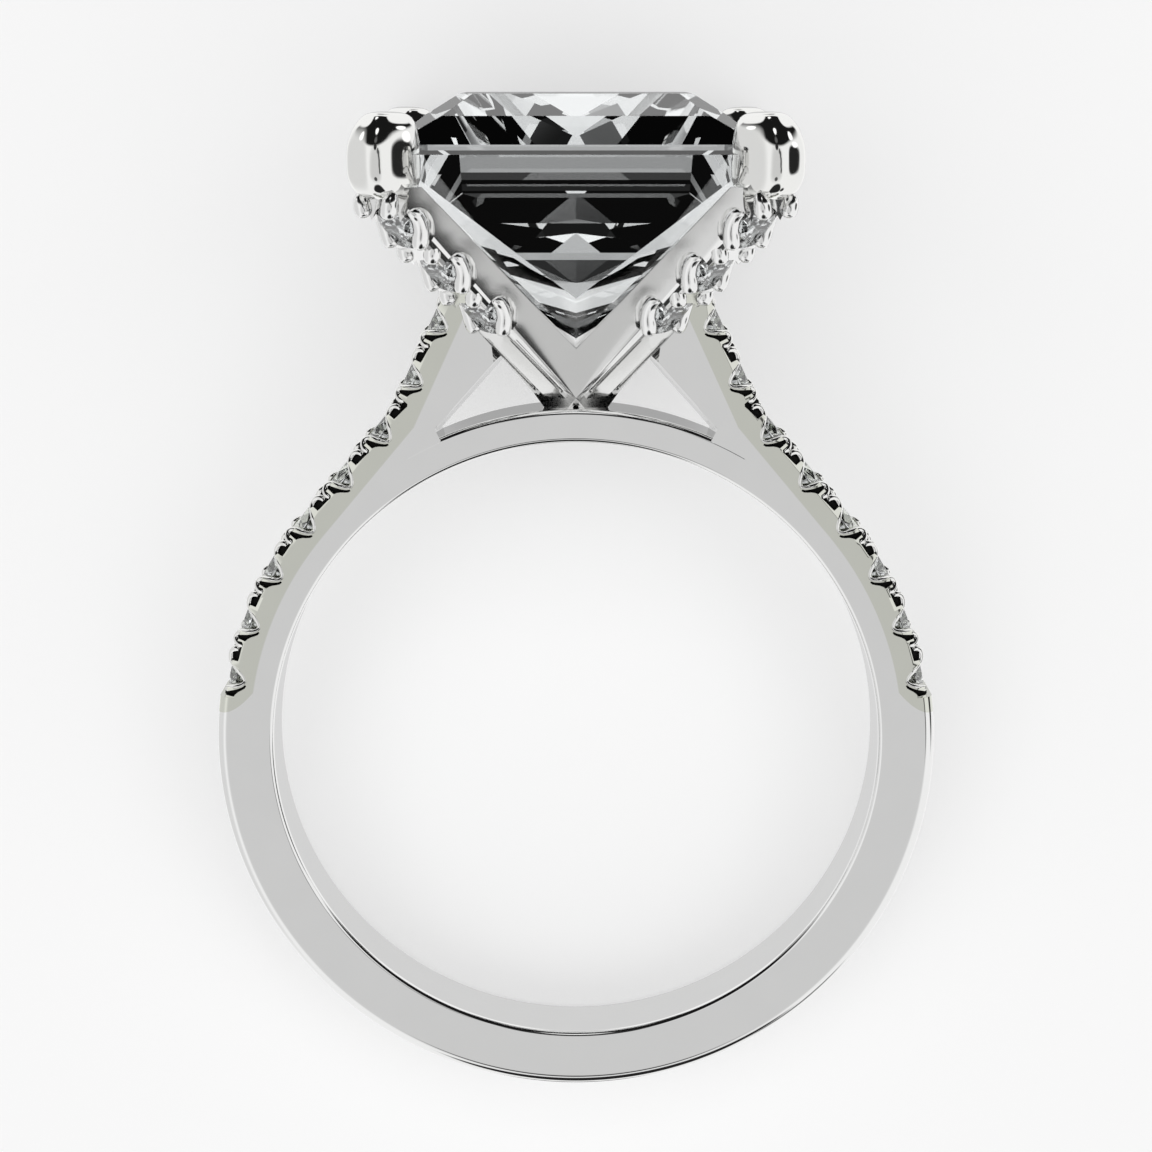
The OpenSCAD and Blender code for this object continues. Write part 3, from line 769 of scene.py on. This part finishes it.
ARM_NAMES = {45: "back_right", 135: "back_left", 225: "front_left", 315: "front_right"}
for degrees, side_name in ARM_NAMES.items():
    turn = Matrix.Rotation(math.radians(degrees), 4, "Y")
    for original in (arm, fittings, claw):
        piece = twin(original)
        piece.name = side_name + "_" + original.name
        piece.matrix_world = turn
        alone(piece)
        bpy.ops.object.transform_apply()
        if original is claw:
            combine(piece, twin(notch), "DIFFERENCE")
        finish(piece, ARM_ANGLE if original is arm else CLAW_ANGLE, soft=original is not arm)
for spare in (arm, fittings, claw, notch):
    bpy.data.objects.remove(spare, do_unlink=True)

# Stones: clear colourless diamonds, each set in its seat from outside. The small ones are the
# frame's own solids, whose facets are the real cut.
gem = bpy.data.materials.new("clear_stone")
gem.use_nodes = True
shader = gem.node_tree.nodes["Principled BSDF"]
shader.inputs["Base Color"].default_value = (0.97, 0.995, 1.0, 1)
shader.inputs["Transmission Weight"].default_value = 1.0
shader.inputs["Roughness"].default_value = 0.0
shader.inputs["IOR"].default_value = 2.417
for name, node in frame["nodes"].items():
    if name != "ring_mount":
        node.data.materials.clear()
        node.data.materials.append(gem)

# The large stone, held by its four corners, is the frame's solid again. The facets of its far
# lower side are cut into smaller ones, each a hair hollow, as on a hand-cut stone.
HOLLOW = -0.00004
FAR_SIDE, LOWER_SIDE = -0.5, 15.8
STONE_MERGE, SAME_FACET = 1e-7, math.radians(0.5)
stone = twin(frame["nodes"]["square_stone"])
stone.name = "square_cut_stone"
alone(stone)
bpy.ops.object.mode_set(mode="EDIT")
bpy.ops.mesh.select_all(action="SELECT")
bpy.ops.mesh.remove_doubles(threshold=STONE_MERGE)
bpy.ops.mesh.dissolve_limited(angle_limit=SAME_FACET)
bpy.ops.mesh.select_mode(type="FACE")
bpy.ops.mesh.select_all(action="DESELECT")
bpy.ops.object.mode_set(mode="OBJECT")
for face in stone.data.polygons:
    centre = raised @ face.center
    face.select = centre.z < FAR_SIDE and centre.y < LOWER_SIDE
bpy.ops.object.mode_set(mode="EDIT")
bpy.ops.mesh.poke(offset=HOLLOW)
bpy.ops.mesh.select_mode(type="VERT")
bpy.ops.object.mode_set(mode="OBJECT")
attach(stone, "root")
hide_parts("square_stone")

# Floor: a wide sheet of matt white paper that the ring lies on. It glows a little, as paper
# does in a bright tent, and neither the metal nor the stones mirror it.
FLOOR_R, FLOOR_GLOW = 1.5, 0.42
bpy.ops.object.select_all(action="DESELECT")
bpy.ops.mesh.primitive_circle_add(vertices=96, radius=FLOOR_R, fill_type="NGON")
floor = bpy.context.object
floor.name = "floor"
paper = bpy.data.materials.new("white_paper")
paper.use_nodes = True
shader = paper.node_tree.nodes["Principled BSDF"]
shader.inputs["Base Color"].default_value = (0.55, 0.55, 0.55, 1)
shader.inputs["Emission Color"].default_value = (1, 1, 1, 1)
shader.inputs["Emission Strength"].default_value = FLOOR_GLOW
shader.inputs["Roughness"].default_value = 0.9
shader.inputs["Specular IOR Level"].default_value = 0.1
floor.data.materials.append(paper)
floor.visible_glossy = False
floor.visible_transmission = False

# Light: a small photo tent of even light, with lighter and darker round panels that the facets
# and the metal mirror. A soft lamp above brightens the paper alone.
TENT = 0.95
LAMP_HEIGHT = 0.6
# Each panel is the direction it is seen in, the radius in degrees up to which it has its full
# brightness and at which it ends, and that brightness. A later panel lies over earlier ones.
PANELS = (
    ((0, -0.36, 0.93), 12, 40, 0.66),
    ((0, 0.97, 0.25), 62, 70, 0.01),
    ((0, 0.45, -0.89), 54, 60, 1.0),
    ((-1, -0.1, -0.1), 25, 50, 0.75),
    ((0, 0.22, -0.975), 20, 23, 0.7),
    ((0, 0.22, -0.98), 6, 9, 0.4),
    ((0, -0.73, -0.685), 5, 9, 0.06),
    ((0, 0.85, -0.52), 7, 12, 0.40),
    ((0.6, 0.8, -0.17), 11, 16, 1.0),
    ((-0.6, 0.8, -0.17), 11, 16, 1.0),
    ((0.23, 0.87, -0.44), 6, 9, 1.0),
    ((-0.23, 0.87, -0.44), 6, 9, 1.0),
    ((0, 0.62, 0.78), 5, 8, 1.3),
    ((0, 0.38, 0.92), 4, 8, 0.12),
    ((-0.88, 0.48, 0.03), 4, 6, 1.3),
    ((0.88, 0.48, 0.03), 4, 6, 1.3),
    ((-0.2, 0.97, 0.1), 4, 8, 1.3),
    ((1, 0, 0.06), 11, 17, 0.02),
    ((0.97, 0.27, -0.03), 4, 6, 1.3),
    ((0.1, -0.97, 0.15), 19, 24, 0.02),
    ((0.52, -0.83, -0.15), 6, 10, 0.03),
    ((0, -0.65, 0.75), 5, 9, 0.08),
    ((0.41, -0.33, 0.85), 3, 6, 0.10),
    ((0.38, -0.22, 0.90), 3, 6, 0.10),
    ((0.32, -0.10, 0.94), 3, 6, 0.10),
    ((0.22, -0.02, 0.975), 3, 6, 0.10),
    ((0, 0.12, 0.99), 6.5, 8.5, 0.03),
)
world = bpy.data.worlds.new("studio")
bpy.context.scene.world = world
world.use_nodes = True
tree = world.node_tree
coords = tree.nodes.new("ShaderNodeTexCoord")
background = tree.nodes["Background"]
tree.links.new(background.outputs[0], tree.nodes["World Output"].inputs[0])
light = None
for toward, inner, outer, bright in PANELS:
    nearness = tree.nodes.new("ShaderNodeVectorMath")
    nearness.operation = "DOT_PRODUCT"
    nearness.inputs[1].default_value = Vector(toward).normalized()
    tree.links.new(coords.outputs["Generated"], nearness.inputs[0])
    fade = tree.nodes.new("ShaderNodeMapRange")
    fade.interpolation_type = "SMOOTHSTEP"
    fade.inputs["From Min"].default_value = math.cos(math.radians(outer))
    fade.inputs["From Max"].default_value = math.cos(math.radians(inner))
    tree.links.new(nearness.outputs["Value"], fade.inputs["Value"])
    mix = tree.nodes.new("ShaderNodeMix")
    mix.data_type = "RGBA"
    mix.inputs["A"].default_value = (TENT, TENT, TENT, 1)
    mix.inputs["B"].default_value = (bright, bright, bright, 1)
    tree.links.new(fade.outputs["Result"], mix.inputs["Factor"])
    if light is not None:
        tree.links.new(light, mix.inputs["A"])
    light = mix.outputs["Result"]
tree.links.new(light, background.inputs["Color"])

bpy.ops.object.light_add(type="AREA", location=(0, 0, LAMP_HEIGHT))
lamp = bpy.context.object
lamp.name = "soft_lamp"
lamp.data.size = 1.2
lamp.data.energy = 3.6
lamp.visible_glossy = False
lamp.visible_transmission = False
